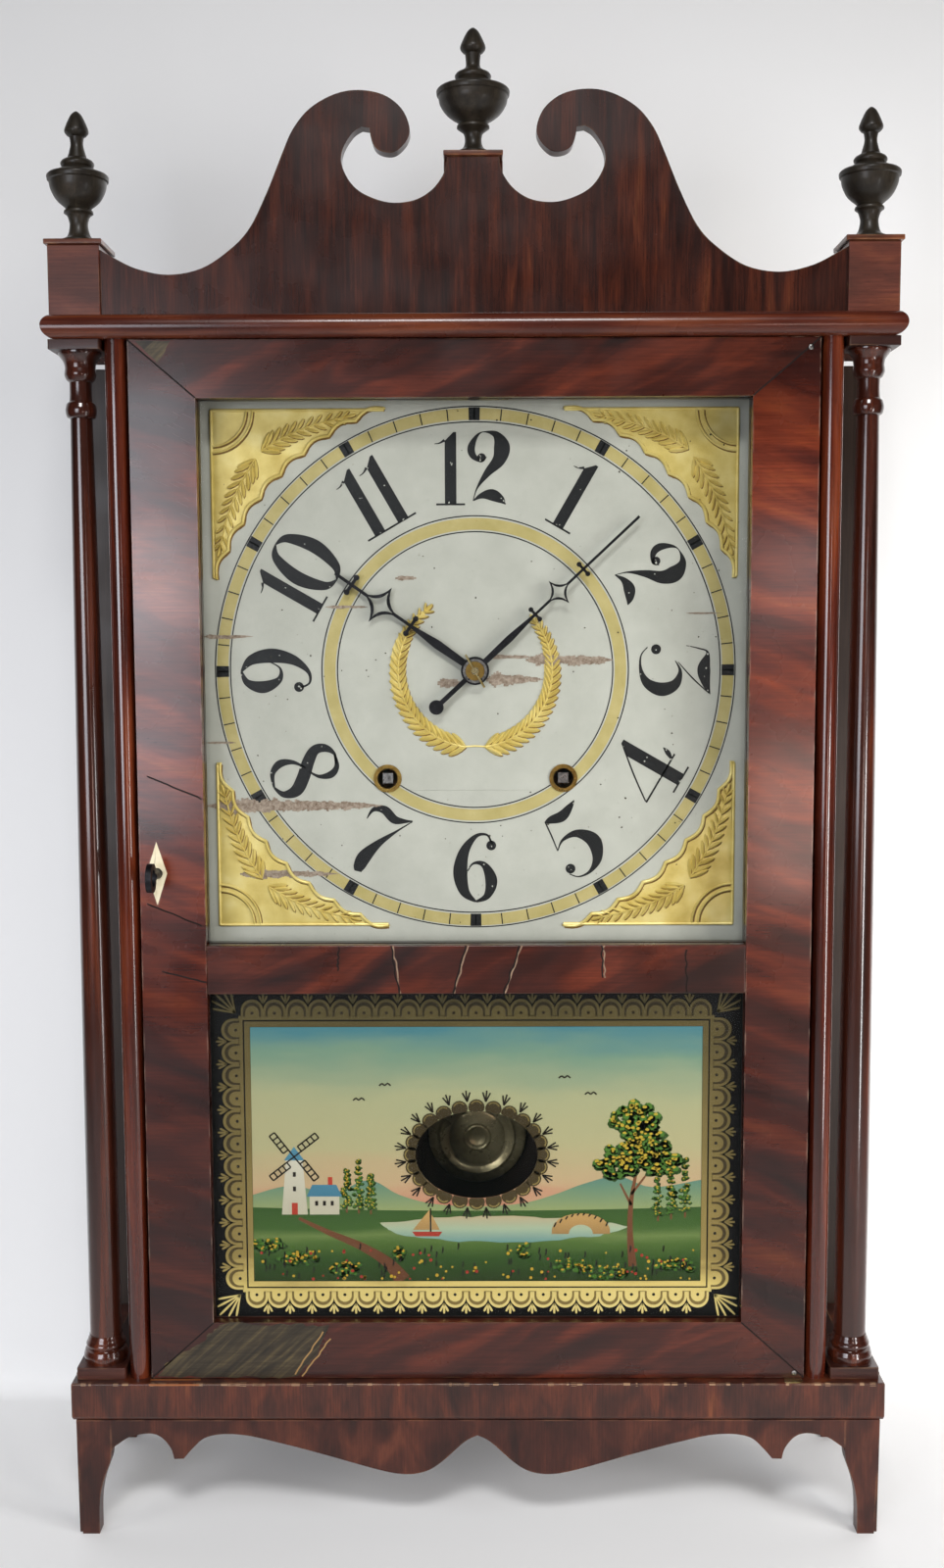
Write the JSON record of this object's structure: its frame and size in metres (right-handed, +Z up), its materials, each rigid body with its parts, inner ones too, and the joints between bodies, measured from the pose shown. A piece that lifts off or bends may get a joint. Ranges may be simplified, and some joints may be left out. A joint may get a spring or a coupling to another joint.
{
  "type": "shelf clock",
  "caption": "Pillar and scroll shelf clock: pillared wooden case with scrolled top, urn finials, hinged glazed door, painted dial and weight-driven pendulum movement.",
  "frame": {"origin": "on the floor under the middle of the clock's outer box, key included", "axes": "+Z up, +Y from the front to the backboard, +X to the right as seen from the front"},
  "size_m": [0.441, 0.1324, 0.791],
  "materials": {
    "mahogany": "figured veneer under a worn polish",
    "dark_mahogany": "dark polished hardwood",
    "old_pine": "bare aged softwood",
    "ebonised_wood": "black-stained turned hardwood with a soft polish",
    "clear_glass": "old clear window glass",
    "painted_glass": "glass painted and gilded on its back",
    "brass": "aged dull brass",
    "blackened_iron": "blackened iron",
    "bone": "polished cow bone",
    "dial_paint": "aged white paint on a wood board",
    "cherry": "planed cherry",
    "oak": "planed quartered oak",
    "laurel": "turned pale laurel wood",
    "hemp_cord": "twisted hemp"
  },
  "bodies": {
    "case": {"base_rails": "mahogany", "case_floor": "old_pine", "apron": "dark_mahogany", "front_feet": "dark_mahogany", "side_skirts": "dark_mahogany", "case_sides": "mahogany", "case_top": "old_pine", "backboard": "old_pine", "front_beads": "mahogany", "cornice": "mahogany", "pillars": "dark_mahogany", "pillar_blocks": "dark_mahogany", "scroll_pediment": "mahogany", "plinth_blocks": "mahogany", "plinth_caps": "mahogany", "finials": "ebonised_wood", "hinge_pins": "blackened_iron", "dial_board": "dial_paint", "dial_strips": "old_pine", "winding_grommets": "brass", "movement_plates": "oak", "plate_pillars": "laurel", "suspension_cock": "brass", "bell": "brass", "time_cord": "hemp_cord", "strike_cord": "hemp_cord"},
    "door": {"door_stiles": "mahogany", "door_top_rail": "mahogany", "door_middle_rail": "mahogany", "door_bottom_rail": "mahogany", "dial_glass": "clear_glass", "tablet_glass": "painted_glass", "glazing_strips": "dark_mahogany", "lock_case": "brass", "escutcheon": "bone"},
    "key": {"door_key": "blackened_iron"},
    "bolt": {"lock_bolt": "blackened_iron"},
    "minute": {"minute_hand": "blackened_iron", "hand_collet": "brass", "cannon_pinion": "brass"},
    "hour": {"hour_hand": "blackened_iron", "hour_wheel": "cherry"},
    "motion": {"motion_wheel": "cherry"},
    "center": {"center_wheel": "laurel"},
    "third": {"third_wheel": "laurel"},
    "escape": {"escape_wheel": "laurel"},
    "time_great": {"time_great_wheel": "cherry"},
    "time_barrel": {"time_drum": "cherry"},
    "strike_great": {"strike_great_wheel": "cherry"},
    "strike_barrel": {"strike_drum": "cherry"},
    "pins": {"pin_wheel": "laurel"},
    "fly": {"fly": "laurel"},
    "verge": {"verge": "blackened_iron"},
    "pendulum": {"pendulum_rod": "brass", "pendulum_bob": "brass"},
    "hammer": {"hammer": "blackened_iron"},
    "time_weight": {"time_weight": "blackened_iron"},
    "strike_weight": {"strike_weight": "blackened_iron"},
    "time_pulley": {"time_pulley": "laurel"},
    "strike_pulley": {"strike_pulley": "laurel"}
  },
  "joints": [
    {"name": "door_swing", "type": "hinge", "parent": "case", "child": "door", "pos_m": [0.172, -0.03975, 0.36], "axis": [0, 0, 1], "range_deg": [0, 120]},
    {"name": "key_turn", "type": "hinge", "parent": "door", "child": "key", "pos_m": [-0.1665, 0, 0.361], "axis": [0, 1, 0], "range_deg": [0, 90]},
    {"name": "bolt_slide", "type": "slide", "parent": "door", "child": "bolt", "axis": [-1, 0, 0], "range_m": [0, 0.0045]},
    {"name": "minute_turn", "type": "hinge", "parent": "case", "child": "minute", "pos_m": [0, 0, 0.46545], "axis": [0, 1, 0], "continuous": true},
    {"name": "hour_turn", "type": "hinge", "parent": "case", "child": "hour", "pos_m": [0, 0, 0.46545], "axis": [0, 1, 0], "continuous": true},
    {"name": "motion_turn", "type": "hinge", "parent": "case", "child": "motion", "pos_m": [0, 0, 0.44545], "axis": [0, 1, 0], "continuous": true},
    {"name": "third_turn", "type": "hinge", "parent": "case", "child": "third", "pos_m": [0.02934, 0, 0.4863], "axis": [0, 1, 0], "continuous": true},
    {"name": "center_turn", "type": "hinge", "parent": "case", "child": "center", "pos_m": [0, 0, 0.46545], "axis": [0, 1, 0], "continuous": true},
    {"name": "escape_turn", "type": "hinge", "parent": "case", "child": "escape", "pos_m": [0, 0, 0.50096], "axis": [0, 1, 0], "continuous": true},
    {"name": "time_great_turn", "type": "hinge", "parent": "case", "child": "time_great", "pos_m": [0.047, 0, 0.40795], "axis": [0, 1, 0], "continuous": true},
    {"name": "pin_wheel_turn", "type": "hinge", "parent": "case", "child": "pins", "pos_m": [-0.0599, 0, 0.48109], "axis": [0, 1, 0], "continuous": true},
    {"name": "strike_great_turn", "type": "hinge", "parent": "case", "child": "strike_great", "pos_m": [-0.047, 0, 0.40795], "axis": [0, 1, 0], "continuous": true},
    {"name": "fly_turn", "type": "hinge", "parent": "case", "child": "fly", "pos_m": [-0.05196, 0, 0.50877], "axis": [0, 1, 0], "continuous": true},
    {"name": "pendulum_swing", "type": "hinge", "parent": "case", "child": "pendulum", "pos_m": [0, 0, 0.5349], "axis": [0, 1, 0], "range_deg": [-3, 3]},
    {"name": "verge_rock", "type": "hinge", "parent": "case", "child": "verge", "pos_m": [0, 0, 0.5349], "axis": [0, 1, 0], "range_deg": [-3, 3]},
    {"name": "hammer_lift", "type": "hinge", "parent": "case", "child": "hammer", "pos_m": [-0.096, 0, 0.46045], "axis": [0, 1, 0], "range_deg": [0, 5]},
    {"name": "time_weight_rise", "type": "slide", "parent": "case", "child": "time_weight", "axis": [0, 0, 1], "range_m": [0, 0.349], "deforming": ["time_cord"]},
    {"name": "time_drum_turn", "type": "hinge", "parent": "case", "child": "time_barrel", "pos_m": [0.047, 0, 0.40795], "axis": [0, 1, 0], "continuous": true},
    {"name": "time_pulley_turn", "type": "hinge", "parent": "case", "child": "time_pulley", "pos_m": [0.15295, 0, 0.6221], "axis": [0, 1, 0], "continuous": true},
    {"name": "strike_weight_rise", "type": "slide", "parent": "case", "child": "strike_weight", "axis": [0, 0, 1], "range_m": [0, 0.349], "deforming": ["strike_cord"]},
    {"name": "strike_drum_turn", "type": "hinge", "parent": "case", "child": "strike_barrel", "pos_m": [-0.047, 0, 0.40795], "axis": [0, 1, 0], "continuous": true},
    {"name": "strike_pulley_turn", "type": "hinge", "parent": "case", "child": "strike_pulley", "pos_m": [-0.15295, 0, 0.6221], "axis": [0, 1, 0], "continuous": true}
  ],
  "couplings": [
    {"joint": "bolt_slide", "follows": "key_turn", "m_per_rad": 0.00286},
    {"joint": "motion_turn", "follows": "minute_turn", "ratio": -0.33333},
    {"joint": "hour_turn", "follows": "minute_turn", "ratio": 0.083333},
    {"joint": "third_turn", "follows": "escape_turn", "ratio": -0.10811},
    {"joint": "center_turn", "follows": "escape_turn", "ratio": 0.013514},
    {"joint": "time_great_turn", "follows": "escape_turn", "ratio": -0.002079},
    {"joint": "pin_wheel_turn", "follows": "fly_turn", "ratio": -0.125},
    {"joint": "strike_great_turn", "follows": "fly_turn", "ratio": 0.019231},
    {"joint": "verge_rock", "follows": "pendulum_swing", "ratio": 1},
    {"joint": "time_drum_turn", "follows": "time_weight_rise", "rad_per_m": 48.662},
    {"joint": "time_pulley_turn", "follows": "time_weight_rise", "rad_per_m": -99.502},
    {"joint": "strike_drum_turn", "follows": "strike_weight_rise", "rad_per_m": -48.662},
    {"joint": "strike_pulley_turn", "follows": "strike_weight_rise", "rad_per_m": 99.502}
  ]
}
